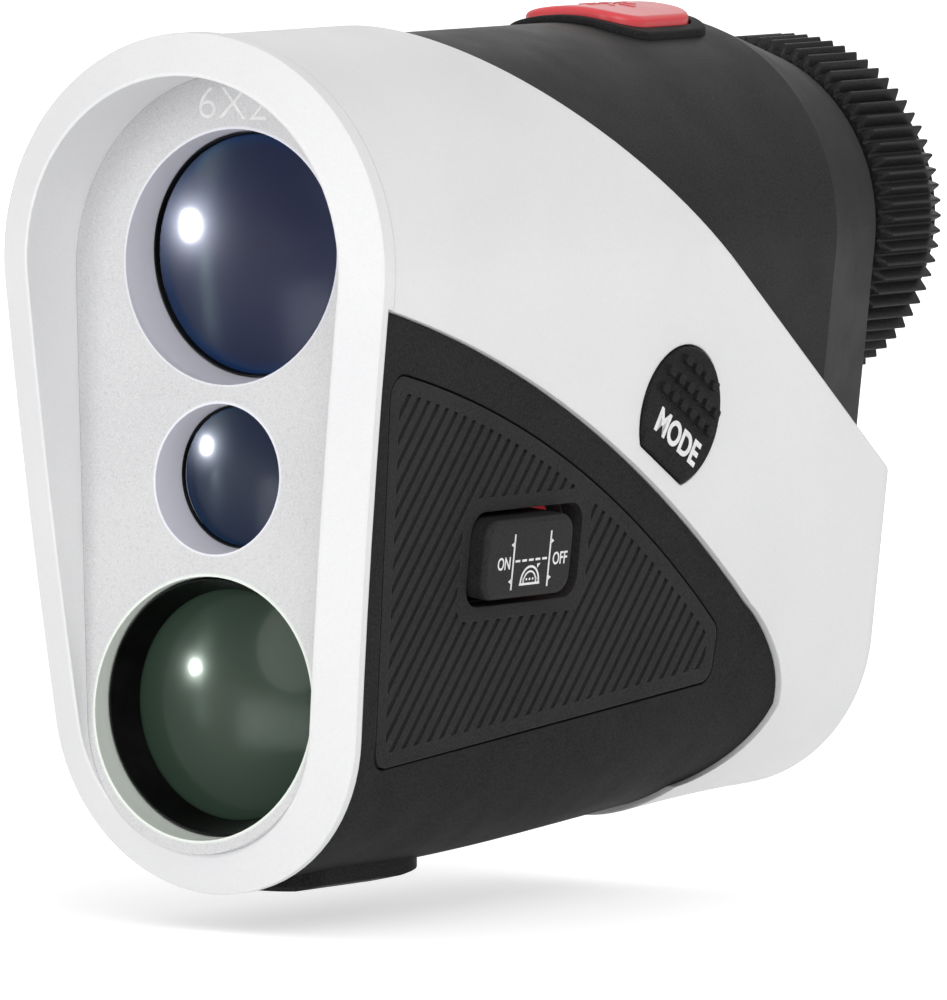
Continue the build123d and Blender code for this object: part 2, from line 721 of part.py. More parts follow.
def battery_door():
    """Door over the battery, hinged at its lower edge, with a snap tongue at the top."""
    height = DOOR_TOP - HINGE_Z
    middle = (DOOR_TOP + HINGE_Z) / 2
    leaf = extrude(across(83.45) * Pos(0, middle) * Rectangle(2 * DOOR_HALF_WIDTH, height), amount=1.75)
    top_edges = leaf.edges().filter_by(Axis.Y).sort_by(Axis.Z)[-2:]
    leaf = fillet(top_edges, 2.4)
    leaf -= block((-5.2, 5.2), (80, 85), (HINGE_Z - 2, HINGE_Z + 0.5))
    for side in (-1, 1):
        inner, outer = sorted((side * 5.2, side * DOOR_HALF_WIDTH))
        leaf += cross_rod(KNUCKLE_RADIUS, HINGE_Y, HINGE_Z, inner, outer)
    leaf += block((-3, 3), (80.4, 82), (DOOR_TOP - 1.6, DOOR_TOP - 0.4))
    return leaf - cross_rod(HINGE_PIN_RADIUS + 0.05, HINGE_Y, HINGE_Z, -12, 12)


def door_contact():
    """Contact disc on the inside of the door."""
    return rod(5.4, 81.25, 81.7, z=BATTERY_Z)


# ---------------------------------------------------------------- write the nodes
def nodes():
    """Every sub-part by name."""
    parts = {
        "front_shell": front_shell(),
        "upper_housing": upper_housing(),
        "grip": grip(),
        "rib_panel_left": rib_panel(True),
        "rib_panel_right": rib_panel(False),
        "foot_pad": foot_blank(FOOT_PROUD),
        "keel_screws": keel_screws(),
        "lens_panel": lens_panel(),
        "objective_barrel": objective_barrel(),
        "emitter_barrel": emitter_barrel(),
        "receiver_barrel": receiver_barrel(),
        "front_bulkhead": bulkhead(36.0, [(10.2, OPTICAL_Z), (3.0, EMITTER_Z), (6.4, RECEIVER_Z)]),
        "rear_bulkhead": bulkhead(70.2, [(TUBE_RADIUS, OPTICAL_Z), (WELL_RADIUS, BATTERY_Z)]),
        "laser_diode": rod(4.0, 34.1, 36.0, z=EMITTER_Z) + rod(2.8, 36.0, 39.0, z=EMITTER_Z),
        "receiver_sensor": block((-7, 7), (38.1, 39.6), (RECEIVER_Z - 7, RECEIVER_Z + 7)),
        "prism_housing": prism_housing(),
        "prism": prism(),
        "display_panel": display_panel(),
        "eyepiece_tube": eyepiece_tube(),
        "diopter_ring": diopter_ring(),
        "eyecup": eyecup(),
        "eyepiece_cell": eyepiece_cell(),
        "eye_lens": lens(9.95, 84.6, 2.0, 1.6, 1.2),
        "field_lens": lens(9.95, 75.6, 2.0, 1.2, 1.2),
        "cell_ring": tube(9.95, 8.9, 88.2, 89.4),
        "main_board": main_board(),
        "board_chips": board_chips(),
        "button_board": block((-7, 7), (BUTTON_Y - 8, BUTTON_Y + 7), (28.6, 29.5)),
        "fire_switch": fire_switch(),
        "mode_switch": mode_switch(),
        "fire_button": fire_button(),
        "button_surround": button_surround(),
        "mode_button": mode_button(),
        "slope_tray": slope_tray(),
        "slope_slider": slope_slider(),
        "slope_flag": slope_flag(),
        "slide_switch": slide_switch(),
        "battery_tray": battery_tray(),
        "battery": battery(),
        "contact_leaf": contact_leaf(),
        "battery_door": battery_door(),
        "door_contact": door_contact(),
        "door_pin": door_pin(),
        "lanyard_bar": lanyard_bar(),
    }
    for name, window in WINDOWS.items():
        parts[name + "_lens"] = window_lens(window)
        parts[name + "_ring"] = window_ring(window)
    return parts


front_most = -BEZEL_SLOPE - FRONT_BOW
rear_most = RING_START + RING_LENGTH + EYECUP_LENGTH
lowest = -HEIGHT / 2 - FOOT_DROP
to_origin = Pos(0, -(front_most + rear_most) / 2, -lowest)

os.makedirs("parts", exist_ok=True)
for name, shape in nodes().items():
    export_step(to_origin * shape, f"parts/{name}.step")
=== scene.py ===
import json
import math

import bmesh
import bpy
from mathutils import Matrix, Vector


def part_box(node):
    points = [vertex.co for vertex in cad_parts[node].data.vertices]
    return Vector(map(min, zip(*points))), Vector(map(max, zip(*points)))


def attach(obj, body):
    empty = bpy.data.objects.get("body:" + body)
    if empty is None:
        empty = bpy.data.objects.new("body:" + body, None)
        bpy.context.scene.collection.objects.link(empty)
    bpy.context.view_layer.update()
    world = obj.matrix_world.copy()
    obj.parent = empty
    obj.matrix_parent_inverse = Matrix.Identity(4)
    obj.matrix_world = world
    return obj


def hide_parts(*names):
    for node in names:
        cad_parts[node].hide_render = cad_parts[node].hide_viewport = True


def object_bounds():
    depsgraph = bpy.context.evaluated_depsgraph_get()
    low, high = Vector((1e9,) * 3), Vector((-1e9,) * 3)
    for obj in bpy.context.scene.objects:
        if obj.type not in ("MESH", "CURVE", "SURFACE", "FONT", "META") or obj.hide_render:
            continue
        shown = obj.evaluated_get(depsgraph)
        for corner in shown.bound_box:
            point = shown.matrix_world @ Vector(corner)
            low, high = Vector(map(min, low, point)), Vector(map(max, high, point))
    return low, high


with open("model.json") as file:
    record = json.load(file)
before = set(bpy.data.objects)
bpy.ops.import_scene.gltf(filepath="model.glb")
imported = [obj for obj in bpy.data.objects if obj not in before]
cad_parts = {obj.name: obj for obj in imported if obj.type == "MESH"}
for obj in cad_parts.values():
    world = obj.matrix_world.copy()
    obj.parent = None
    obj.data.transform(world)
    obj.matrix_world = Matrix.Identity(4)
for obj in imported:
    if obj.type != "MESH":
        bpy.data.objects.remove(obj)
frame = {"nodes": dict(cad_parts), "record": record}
cad_low, cad_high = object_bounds()

# Looks, markings, studio and camera of a golf laser rangefinder. The CAD nodes keep their shapes and
# get procedural materials. The front lenses, the eyepiece's glass, ring and cup are modelled here.

# ---------------------------------------------------------------- places
# Lengths are written in millimetres from the centre of the front bezel's outline, as the object was
# drawn, and at() turns them into metres in the row frame. The bezel is 73 mm tall, and its lip
# stands 2.27 mm ahead of that centre.
MM = 0.001
BEZEL_HALF_HEIGHT = 36.5
BEZEL_LIP = 2.266
shell_low, shell_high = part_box("front_shell")
DATUM = Vector((0, shell_low.y + BEZEL_LIP * MM, shell_high.z - BEZEL_HALF_HEIGHT * MM))

OPTICAL_Z = 17.4
CROWN_Z = 17.0
WINDOW_Z = {"objective": OPTICAL_Z, "emitter": -1.3, "receiver": -20.6}

# The left flank leans inwards towards the keel. It passes through FLANK_X at the datum's height.
FLANK_X = 17.7916
FLANK_SINE = 0.1064389
FLANK_COSINE = math.sqrt(1 - FLANK_SINE ** 2)

# The front panel's surface lies at PANEL_Y at the datum's height and slopes back towards the top.
PANEL_Y = 3.3
PANEL_SLOPE = 0.10

MODE_KEY_Y = 47.3
MODE_KEY_CLIMB = 2.3
MODE_KEY_TURN = math.radians(-28.9)
SLIDER_Y = 24.35
SLIDER_CLIMB = -8.4
SLIDER_FACE = 0.7


def at(x, y, z):
    """A point of the row frame in metres."""
    return DATUM + Vector((x, y, z)) * MM


def from_axes(x_axis, y_axis, z_axis, origin):
    """Matrix that carries local points to the row frame."""
    axes = Matrix((x_axis, y_axis, z_axis)).transposed().to_4x4()
    return Matrix.Translation(origin) @ axes


def flank_matrix(y, climb, height, turn=0.0):
    """Frame on the left flank: local x runs to the rear, local y climbs, local z points outwards."""
    back = Vector((0, 1, 0))
    up = Vector((FLANK_SINE, 0, FLANK_COSINE))
    out = Vector((FLANK_COSINE, 0, -FLANK_SINE))
    origin = at(FLANK_X, 0, 0) + (back * y + up * climb + out * height) * MM
    return from_axes(back, up, out, origin) @ Matrix.Rotation(turn, 4, "Z")


def rear_matrix(x_axis, y, z):
    """Frame on a face that looks to the rear; x_axis is (1, 0, 0) or (-1, 0, 0)."""
    return from_axes(x_axis, (0, 0, 1), (0, 1, 0), (0, y, z))


def ends_along(low, high):
    """First and last y of a box, in millimetres from the datum."""
    return (low.y - DATUM.y) / MM, (high.y - DATUM.y) / MM


# ---------------------------------------------------------------- camera
AZIMUTH = math.radians(33.8)
ELEVATION = math.radians(4.4)
ROLL = math.radians(0.34)
DISTANCE = 1402.36
AIM = (19.536, 12.858, -2.741)
FOCAL_LENGTH = 600.0
SENSOR_WIDTH = 36.0
FAR_CLIP = 50.0


def make_camera():
    """Long lens ahead of the object, to its left and slightly above."""
    away = Vector((
        math.sin(AZIMUTH) * math.cos(ELEVATION),
        -math.cos(AZIMUTH) * math.cos(ELEVATION),
        math.sin(ELEVATION),
    ))
    level = Vector((math.cos(AZIMUTH), math.sin(AZIMUTH), 0))
    upright = away.cross(level)
    right = level * math.cos(ROLL) + upright * math.sin(ROLL)
    up = upright * math.cos(ROLL) - level * math.sin(ROLL)
    data = bpy.data.cameras.new("camera")
    data.lens = FOCAL_LENGTH
    data.sensor_width = SENSOR_WIDTH
    data.clip_end = FAR_CLIP
    camera = bpy.data.objects.new("camera", data)
    bpy.context.scene.collection.objects.link(camera)
    camera.matrix_world = from_axes(right, up, away, at(*AIM) + away * DISTANCE * MM)
    bpy.context.scene.camera = camera


make_camera()
bpy.context.scene.view_settings.view_transform = "Standard"


# ---------------------------------------------------------------- node helpers
# How far the rounded normal agrees with the true one, as a cosine.
OPEN_SURFACE = 0.985
SHARP_EDGE = 0.80


class Nodes:
    """A material's node tree with short ways to add and join nodes."""

    def __init__(self, name):
        self.material = bpy.data.materials.new(name)
        self.material.use_nodes = True
        self.tree = self.material.node_tree
        self.shader = self.tree.nodes["Principled BSDF"]
        self.coords = self.add("ShaderNodeTexCoord").outputs["Object"]

    def add(self, kind, **settings):
        node = self.tree.nodes.new(kind)
        for key, value in settings.items():
            setattr(node, key, value)
        return node

    def feed(self, socket, value):
        """Links an output, or writes a constant, into an input."""
        if isinstance(value, bpy.types.NodeSocket):
            self.tree.links.new(value, socket)
        else:
            socket.default_value = value

    def math(self, operation, first, second=0.0):
        node = self.add("ShaderNodeMath", operation=operation)
        self.feed(node.inputs[0], first)
        self.feed(node.inputs[1], second)
        return node.outputs[0]

    def noise(self, size, detail=2.0, stretch=(1, 1, 1), roughness=0.5):
        """Noise whose features are about size metres across."""
        mapping = self.add("ShaderNodeMapping")
        self.feed(mapping.inputs["Vector"], self.coords)
        mapping.inputs["Scale"].default_value = stretch
        node = self.add("ShaderNodeTexNoise")
        self.feed(node.inputs["Vector"], mapping.outputs[0])
        node.inputs["Scale"].default_value = 1 / size
        node.inputs["Detail"].default_value = detail
        node.inputs["Roughness"].default_value = roughness
        return node.outputs["Fac"]

    def span(self, value, low, high, to_low=0.0, to_high=1.0, smooth=False):
        """Carries value from the range low..high to the range to_low..to_high."""
        node = self.add("ShaderNodeMapRange", interpolation_type="SMOOTHSTEP" if smooth else "LINEAR")
        self.feed(node.inputs["Value"], value)
        ranges = {"From Min": low, "From Max": high, "To Min": to_low, "To Max": to_high}
        for key, number in ranges.items():
            node.inputs[key].default_value = number
        return node.outputs[0]

    def mix(self, amount, first, second):
        """Mixes two colours."""
        node = self.add("ShaderNodeMix", data_type="RGBA")
        self.feed(node.inputs[0], amount)
        self.feed(node.inputs[6], first)
        self.feed(node.inputs[7], second)
        return node.outputs[2]

    def split(self):
        """The x, y and z of the point in the row frame."""
        node = self.add("ShaderNodeSeparateXYZ")
        self.feed(node.inputs[0], self.coords)
        return node.outputs

    def reach(self, place, middle):
        """Distance of a point from the line along Y that runs at height middle."""
        across = self.math("POWER", place[0], 2.0)
        upwards = self.math("POWER", self.math("SUBTRACT", place[2], middle), 2.0)
        return self.math("SQRT", self.math("ADD", across, upwards))

    def rounded(self, radius):
        """Surface normal with the edges rounded off by radius metres."""
        node = self.add("ShaderNodeBevel", samples=4)
        node.inputs["Radius"].default_value = radius
        return node.outputs[0]

    def edges(self, rounded):
        """How much of an edge a point is: 0 on open surface, 1 on a sharp edge."""
        geometry = self.add("ShaderNodeNewGeometry")
        product = self.add("ShaderNodeVectorMath", operation="DOT_PRODUCT")
        self.feed(product.inputs[0], geometry.outputs["Normal"])
        self.feed(product.inputs[1], rounded)
        return self.span(product.outputs["Value"], OPEN_SURFACE, SHARP_EDGE)

    def bump(self, height, distance, normal=None):
        node = self.add("ShaderNodeBump")
        node.inputs["Distance"].default_value = distance
        self.feed(node.inputs["Height"], height)
        if normal is not None:
            self.feed(node.inputs["Normal"], normal)
        return node.outputs[0]

    def set(self, **values):
        """Sets or links the shader's inputs; an underscore stands for a space."""
        for key, value in values.items():
            self.feed(self.shader.inputs[key.replace("_", " ")], value)
        return self.material


def rgb(red, green, blue):
    return (red, green, blue, 1.0)


def grey(value):
    return (value, value, value, 1.0)


# ---------------------------------------------------------------- materials
TONE_SIZE = 14 * MM
PATCH_SIZE = 5 * MM
EDGE_WEAR = 0.55
EDGE_POLISH = 0.10


def moulded(name, base, shade, rough, grain, relief, *, worn, gloss, edge=0.15 * MM, **extra):
    """Moulded plastic or rubber: uneven tone, fine texture, and edges rubbed smoother and paler."""
    n = Nodes(name)
    tone = n.noise(TONE_SIZE, 3.0)
    speckle = n.noise(grain, 2.0)
    colour = n.mix(n.span(tone, 0.35, 0.65), base, shade)
    colour = n.mix(n.span(speckle, 0.3, 0.7, 0.0, 0.06), colour, grey(0.3))
    normal = n.rounded(edge)
    rub = n.edges(normal)
    colour = n.mix(n.math("MULTIPLY", rub, EDGE_WEAR), colour, worn)
    patches = n.noise(PATCH_SIZE, 4.0)
    roughness = n.span(patches, 0.3, 0.7, *rough)
    roughness = n.math("SUBTRACT", roughness, n.math("MULTIPLY", rub, EDGE_POLISH))
    n.set(Base_Color=colour, Roughness=roughness, Specular_IOR_Level=gloss)
    return n.set(Normal=n.bump(speckle, relief, normal), **extra)


def white_plastic():
    """Satin white moulding with a faint grain."""
    return moulded("white_plastic", rgb(0.80, 0.80, 0.805), rgb(0.775, 0.775, 0.785), (0.36, 0.46),
                   0.25 * MM, 0.003 * MM, edge=0.22 * MM, worn=grey(0.93), gloss=0.45,
                   Coat_Weight=0.12, Coat_Roughness=0.25)


def black_plastic():
    """Fine matt black moulding."""
    return moulded("black_plastic", grey(0.018), grey(0.015), (0.42, 0.52), 0.16 * MM, 0.006 * MM,
                   worn=grey(0.07), gloss=0.14)


def soft_touch(name, level, rough=(0.56, 0.68), relief=0.008 * MM, gloss=0.08):
    """Soft-touch rubber coating with a slight sheen."""
    return moulded(name, grey(level), grey(level * 0.8), rough, 0.2 * MM, relief, edge=0.2 * MM,
                   worn=grey(level * 3), gloss=gloss, Sheen_Weight=0.02, Sheen_Roughness=0.4)


# Painted light: the walls of the window recesses are painted paler, in faint tints, to lift the shade deep
# inside them.
RECESS_PAINTED_LIGHT = {
    "objective": rgb(0.90, 0.90, 0.98),
    "emitter": rgb(0.92, 0.92, 1.0),
    "receiver": rgb(0.92, 0.98, 0.90),
}
RECESS_BLUR = 0.12 * MM
RECESS_PAINTED_LIGHT_COVER = 0.85


def silver_panel():
    """Bead-blasted silver paint, with painted light on the walls of the recesses: paler and faintly tinted
    to lift their shade.
    """
    n = Nodes("silver_panel")
    fine = n.noise(0.12 * MM, 3.0, roughness=0.7)
    coarse = n.noise(0.34 * MM, 2.0)
    colour = n.mix(n.span(n.noise(11 * MM), 0.35, 0.65), rgb(0.64, 0.64, 0.65), rgb(0.60, 0.60, 0.615))
    colour = n.mix(n.span(fine, 0.40, 0.68), colour, grey(0.76))
    colour = n.mix(n.span(coarse, 0.56, 0.72, 0.0, 0.3), colour, grey(0.46))
    place = n.split()
    # Each recess wall is mixed towards its painted light tint.
    for window, tint in RECESS_PAINTED_LIGHT.items():
        low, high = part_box(window + "_lens")
        radius = (high.x - low.x) / 2
        reach = n.reach(place, (low.z + high.z) / 2)
        inside = n.span(reach, radius + RECESS_BLUR, radius - RECESS_BLUR)
        colour = n.mix(n.math("MULTIPLY", inside, RECESS_PAINTED_LIGHT_COVER), colour, tint)
    normal = n.rounded(0.12 * MM)
    relief = n.math("ADD", fine, n.math("MULTIPLY", coarse, 0.6))
    return n.set(Base_Color=colour, Metallic=0.25, Specular_IOR_Level=0.5,
                 Roughness=n.span(fine, 0.3, 0.7, 0.38, 0.55), Normal=n.bump(relief, 0.012 * MM, normal))


def metal(name, colour, dark, rough, brushed=(1, 1, 1)):
    """Plated or turned metal with fine marks along one direction."""
    n = Nodes(name)
    marks = n.noise(0.3 * MM, 4.0, stretch=brushed)
    shade = n.mix(n.span(n.noise(3 * MM), 0.3, 0.7), colour, dark)
    shade = n.mix(n.span(marks, 0.45, 0.75, 0.0, 0.35), shade, dark)
    normal = n.rounded(0.08 * MM)
    return n.set(Base_Color=shade, Metallic=1.0, Roughness=n.span(marks, 0.3, 0.7, *rough),
                 Normal=n.bump(marks, 0.003 * MM, normal))


def red_plastic():
    """Saturated red moulding, satin on top."""
    return moulded("red_plastic", rgb(0.80, 0.030, 0.042), rgb(0.72, 0.024, 0.036), (0.34, 0.46),
                   0.2 * MM, 0.004 * MM, edge=0.25 * MM, worn=rgb(0.95, 0.16, 0.15), gloss=0.5,
                   Coat_Weight=0.7, Coat_Roughness=0.3)


def board_green():
    """Solder mask with traces and pads under it."""
    n = Nodes("board_green")
    traces = n.add("ShaderNodeTexBrick")
    n.feed(traces.inputs["Vector"], n.coords)
    traces.inputs["Scale"].default_value = 260
    traces.inputs["Mortar Size"].default_value = 0.03
    colour = n.mix(traces.outputs["Fac"], rgb(0.015, 0.13, 0.06), rgb(0.03, 0.22, 0.10))
    colour = n.mix(n.span(n.noise(1.2 * MM), 0.62, 0.66), colour, rgb(0.75, 0.62, 0.30))
    return n.set(Base_Color=colour, Roughness=n.span(n.noise(2 * MM), 0.3, 0.7, 0.25, 0.4),
                 Normal=n.bump(traces.outputs["Fac"], 0.02 * MM), Coat_Weight=0.4, Coat_Roughness=0.1)


def cell_wrap():
    """Shrink wrap of the battery: dark blue with a pale band near the raised contact."""
    n = Nodes("cell_wrap")
    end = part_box("battery")[1].y
    along = n.split()[1]
    band = n.math("GREATER_THAN", along, end - 7 * MM)
    cap = n.math("GREATER_THAN", along, end - 1.2 * MM)
    colour = n.mix(n.span(n.noise(6 * MM), 0.3, 0.7), rgb(0.02, 0.06, 0.20), rgb(0.03, 0.08, 0.26))
    colour = n.mix(band, colour, rgb(0.62, 0.64, 0.66))
    colour = n.mix(cap, colour, rgb(0.70, 0.68, 0.62))
    return n.set(Base_Color=colour, Metallic=n.math("MULTIPLY", cap, 0.9),
                 Coat_Weight=0.5, Coat_Roughness=0.12,
                 Roughness=n.span(n.noise(1.5 * MM, 4.0), 0.3, 0.7, 0.22, 0.36),
                 Normal=n.bump(n.noise(0.8 * MM), 0.01 * MM))


def clear_glass(name, tint, film=0.0):
    """Polished glass, with the coating's film where there is one."""
    n = Nodes(name)
    dust = n.noise(0.5 * MM, 4.0)
    n.set(Base_Color=tint, Roughness=n.span(dust, 0.55, 0.9, 0.0, 0.03), IOR=1.5, Transmission_Weight=1.0)
    if film:
        n.set(Thin_Film_Thickness=film, Thin_Film_IOR=1.38)
    return n.material


def ink(name, level):
    """Printed ink, slightly uneven."""
    n = Nodes(name)
    colour = n.mix(n.span(n.noise(0.5 * MM, 3.0), 0.35, 0.7), grey(level), grey(level * 0.86))
    return n.set(Base_Color=colour, Roughness=n.span(n.noise(1 * MM), 0.3, 0.7, 0.42, 0.55),
                 Normal=n.bump(n.noise(0.15 * MM), 0.002 * MM))


MATERIALS = {
    "white_plastic": white_plastic(),
    "black_plastic": black_plastic(),
    "grip_rubber": soft_touch("grip_rubber", 0.012),
    "rib_rubber": soft_touch("rib_rubber", 0.022, (0.6, 0.72), 0.010 * MM),
    "foot_rubber": soft_touch("foot_rubber", 0.008, (0.4, 0.5)),
    "silver_panel": silver_panel(),
    "barrel_black": metal("barrel_black", grey(0.03), grey(0.015), (0.35, 0.5), (1, 8, 1)),
    "ring_rubber": soft_touch("ring_rubber", 0.011, (0.34, 0.46), gloss=0.2),
    "eyecup_rubber": soft_touch("eyecup_rubber", 0.009, (0.6, 0.7)),
    "red_plastic": red_plastic(),
    "key_rubber": soft_touch("key_rubber", 0.011, (0.5, 0.62)),
    "board_green": board_green(),
    "chip_black": soft_touch("chip_black", 0.02, (0.3, 0.45)),
    "steel": metal("steel", grey(0.58), grey(0.42), (0.22, 0.38), (1, 6, 1)),
    "nickel": metal("nickel", rgb(0.74, 0.71, 0.64), rgb(0.58, 0.55, 0.48), (0.15, 0.3)),
    "cell_wrap": cell_wrap(),
    "lens_glass": clear_glass("lens_glass", rgb(0.86, 0.90, 0.95), 420.0),
    "prism_glass": clear_glass("prism_glass", rgb(0.90, 0.95, 0.94)),
}

node_slots = {part["node"]: part["material_slot"] for part in frame["record"]["subparts"]}
for node_name, cad_node in frame["nodes"].items():
    cad_node.data.materials.clear()
    cad_node.data.materials.append(MATERIALS[node_slots[node_name]])


# ---------------------------------------------------------------- mesh helpers
LENS_SHARP = math.radians(50)


def piece(name, mesh, body, slot, material=None, sharp=math.radians(32)):
    """Makes a piece of the object from a finished mesh and lets it ride on a CAD body."""
    mesh.name = name
    mesh.materials.clear()
    mesh.materials.append(material or MATERIALS[slot])
    mesh.shade_smooth()
    mesh.set_sharp_from_angle(angle=sharp)
    thing = bpy.data.objects.new(name, mesh)
    bpy.context.scene.collection.objects.link(thing)
    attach(thing, body)
    return thing


def lathe(profile, z, segments=128):
    """Closed solid turned about a line along Y through height z. The profile lists (radius, y)."""
    form = bmesh.new()
    rings = []
    for radius, y in profile:
        if radius < 1e-6:
            rings.append([form.verts.new(at(0, y, z))])
            continue
        ring = []
        for step in range(segments):
            turn = 2 * math.pi * step / segments
            ring.append(form.verts.new(at(radius * math.cos(turn), y, z + radius * math.sin(turn))))
        rings.append(ring)
    for first, second in zip(rings, rings[1:] + rings[:1]):
        for step in range(segments):
            following = (step + 1) % segments
            corners = [first[step % len(first)], first[following % len(first)],
                       second[following % len(second)], second[step % len(second)]]
            corners = list(dict.fromkeys(corners))
            if len(corners) > 2:
                form.faces.new(corners)
    return sealed(form)


def sealed(form):
    """Turns a bmesh into a mesh with its faces looking outwards."""
    bmesh.ops.recalc_face_normals(form, faces=form.faces)
    mesh = bpy.data.meshes.new("form")
    form.to_mesh(mesh)
    form.free()
    return mesh


def arc_profile(radius, apex_y, sag, steps=14):
    """Points of a lens face from its middle to its rim; sag is signed along +Y."""
    curve = (radius ** 2 + sag ** 2) / (2 * abs(sag))
    points = []
    for step in range(steps + 1):
        reach = radius * step / steps
        drop = curve - math.sqrt(curve ** 2 - reach ** 2)
        points.append((reach, apex_y + math.copysign(drop, sag)))
    return points


def solidified(outlines, thickness, matrix):
    """Plate cut from outlines in a local plane, raised to a thickness in mm along the local z."""
    form = bmesh.new()
    for outline in outlines:
        loop = [form.verts.new((x * MM, y * MM, 0)) for x, y in outline]
        form.faces.new(loop)
    bmesh.ops.recalc_face_normals(form, faces=form.faces)
    grown = bmesh.ops.extrude_face_region(form, geom=list(form.faces))
    raised = [item for item in grown["geom"] if isinstance(item, bmesh.types.BMVert)]
    bmesh.ops.translate(form, verts=raised, vec=(0, 0, thickness * MM))
    bmesh.ops.transform(form, matrix=matrix, verts=form.verts)
    return sealed(form)


def lettering(text, thickness, bold):
    """Raised lettering in the local xy plane, as a closed mesh; thickness and bold are in mm."""
    curve = bpy.data.curves.new("lettering", "FONT")
    curve.body = text
    curve.size = 4 * MM
    curve.extrude = thickness * MM / 2
    curve.offset = bold * MM
    curve.resolution_u = 6
    holder = bpy.data.objects.new("lettering", curve)
    bpy.context.scene.collection.objects.link(holder)
    bpy.context.view_layer.update()
    mesh = bpy.data.meshes.new_from_object(holder.evaluated_get(bpy.context.evaluated_depsgraph_get()))
    bpy.data.objects.remove(holder)
    form = bmesh.new()
    form.from_mesh(mesh)
    bpy.data.meshes.remove(mesh)
    bmesh.ops.remove_doubles(form, verts=form.verts, dist=0.002 * MM)
    return sealed(form)


# ---------------------------------------------------------------- front windows
# Painted light on the opaque front lenses: the middle colour is a paler painted haze, the next the painted
# shade of the barrel's inside, and the rim colour a painted blue reflection on the objective and emitter and
# a painted dark shade on the receiver.
LENS_LOOKS = {
    "objective": {
        "painted_haze": rgb(0.022, 0.023, 0.044),
        "painted_depth": rgb(0.012, 0.016, 0.040),
        "rim": rgb(0.006, 0.022, 0.075),
        "tint": rgb(0.72, 0.78, 1.0),
    },
    "emitter": {
        "painted_haze": rgb(0.020, 0.025, 0.040),
        "painted_depth": rgb(0.012, 0.018, 0.038),
        "rim": rgb(0.006, 0.022, 0.060),
        "tint": rgb(0.72, 0.80, 1.0),
    },
    "receiver": {
        "painted_haze": rgb(0.038, 0.050, 0.040),
        "painted_depth": rgb(0.020, 0.034, 0.024),
        "rim": rgb(0.006, 0.014, 0.008),
        "tint": rgb(0.82, 1.0, 0.86),
    },
}
LENS_EDGE = 2.4
LENS_REAR_SAG = 0.6


def coated_lens(name, painted_haze, painted_depth, rim, tint):
    """Front lens as opaque coated glass with painted light and shade: a dark body for the shaded inside, a
    paler painted haze in the middle, and a painted rim, a blue reflection on the objective and emitter and
    near-black shade on the receiver.
    """
    n = Nodes(name)
    low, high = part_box(name)
    radius = (high.x - low.x) / 2
    reach = n.math("DIVIDE", n.reach(n.split(), (low.z + high.z) / 2), radius)
    # Painted haze in the middle fades to painted shade, then to the painted rim colour.
    colour = n.mix(n.span(reach, 0.0, 0.85, smooth=True), painted_haze, painted_depth)
    colour = n.mix(n.span(reach, 0.82, 0.93, smooth=True), colour, rim)
    colour = n.mix(n.span(n.noise(4 * MM), 0.3, 0.7, 0.0, 0.2), colour, painted_depth)
    facing = n.add("ShaderNodeLayerWeight")
    facing.inputs["Blend"].default_value = 0.35
    return n.set(Base_Color=colour, Roughness=n.span(facing.outputs["Fresnel"], 0.0, 1.0, 0.17, 0.11),
                 Specular_IOR_Level=0.12, Specular_Tint=tint, Coat_Weight=0.16, Coat_Roughness=0.055,
                 Coat_IOR=1.45)


def front_lens(window):
    """Lens of one front window, with a finer mesh and its coating."""
    node = window + "_lens"
    low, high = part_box(node)
    radius = (high.x - low.x) / 2 / MM
    front, rear = ends_along(low, high)
    front_sag = rear - front - LENS_EDGE - LENS_REAR_SAG
    outline = arc_profile(radius, front, front_sag, 20)
    outline += reversed(arc_profile(radius, rear, -LENS_REAR_SAG, 12))
    lens = piece(node + "_glass", lathe(outline, WINDOW_Z[window], 160), "housing", "lens_glass",
                 coated_lens(node, **LENS_LOOKS[window]), LENS_SHARP)
    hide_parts(node)
    return lens


front_lenses = [front_lens(window) for window in LENS_LOOKS]


# ---------------------------------------------------------------- markings
WHITE_INK = ink("white_ink", 0.86)
SILVER_INK = ink("silver_ink", 0.88)
INK_THICKNESS = 0.04


def fitted(text, width, height, thickness, matrix, bold):
    """Raised lettering that fills width by height in mm, centred on a local plane."""
    mesh = lettering(text, thickness, bold)
    corners = [vertex.co for vertex in mesh.vertices]
    low = Vector([min(corner[axis] for corner in corners) for axis in range(3)])
    high = Vector([max(corner[axis] for corner in corners) for axis in range(3)])
    size = high - low
    scale = Matrix.Diagonal((width * MM / size.x, height * MM / size.y, 1, 1))
    mesh.transform(matrix @ scale @ Matrix.Translation(-(low + high) / 2))
    return mesh


def joined(meshes):
    """One mesh from several."""
    form = bmesh.new()
    for mesh in meshes:
        form.from_mesh(mesh)
        bpy.data.meshes.remove(mesh)
    return sealed(form)


def bar(x, y, width, height, turn=0.0):
    """Corners of a rectangle about (x, y)."""
    corners = []
    for across, along in ((-1, -1), (1, -1), (1, 1), (-1, 1)):
        u, v = across * width / 2, along * height / 2
        corners.append((x + u * math.cos(turn) - v * math.sin(turn),
                        y + u * math.sin(turn) + v * math.cos(turn)))
    return corners


def band(x, y, inner, outer, start=0.0, end=math.pi, steps=16):
    """Outline of part of a flat ring about (x, y)."""
    angles = [start + (end - start) * step / steps for step in range(steps + 1)]
    outside = [(x + outer * math.cos(angle), y + outer * math.sin(angle)) for angle in angles]
    inside = [(x + inner * math.cos(angle), y + inner * math.sin(angle)) for angle in reversed(angles)]
    return outside + inside


def mode_legend():
    """White MODE legend along the lower part of the key."""
    key = flank_matrix(MODE_KEY_Y, MODE_KEY_CLIMB, 0.0, MODE_KEY_TURN)
    place = key @ Matrix.Translation((0.45 * MM, -1.75 * MM, 0))
    mesh = fitted("MODE", 7.8, 2.25, 2 * INK_THICKNESS, place, 0.13)
    piece("mode_legend", mesh, "mode_button", "white_plastic", WHITE_INK)


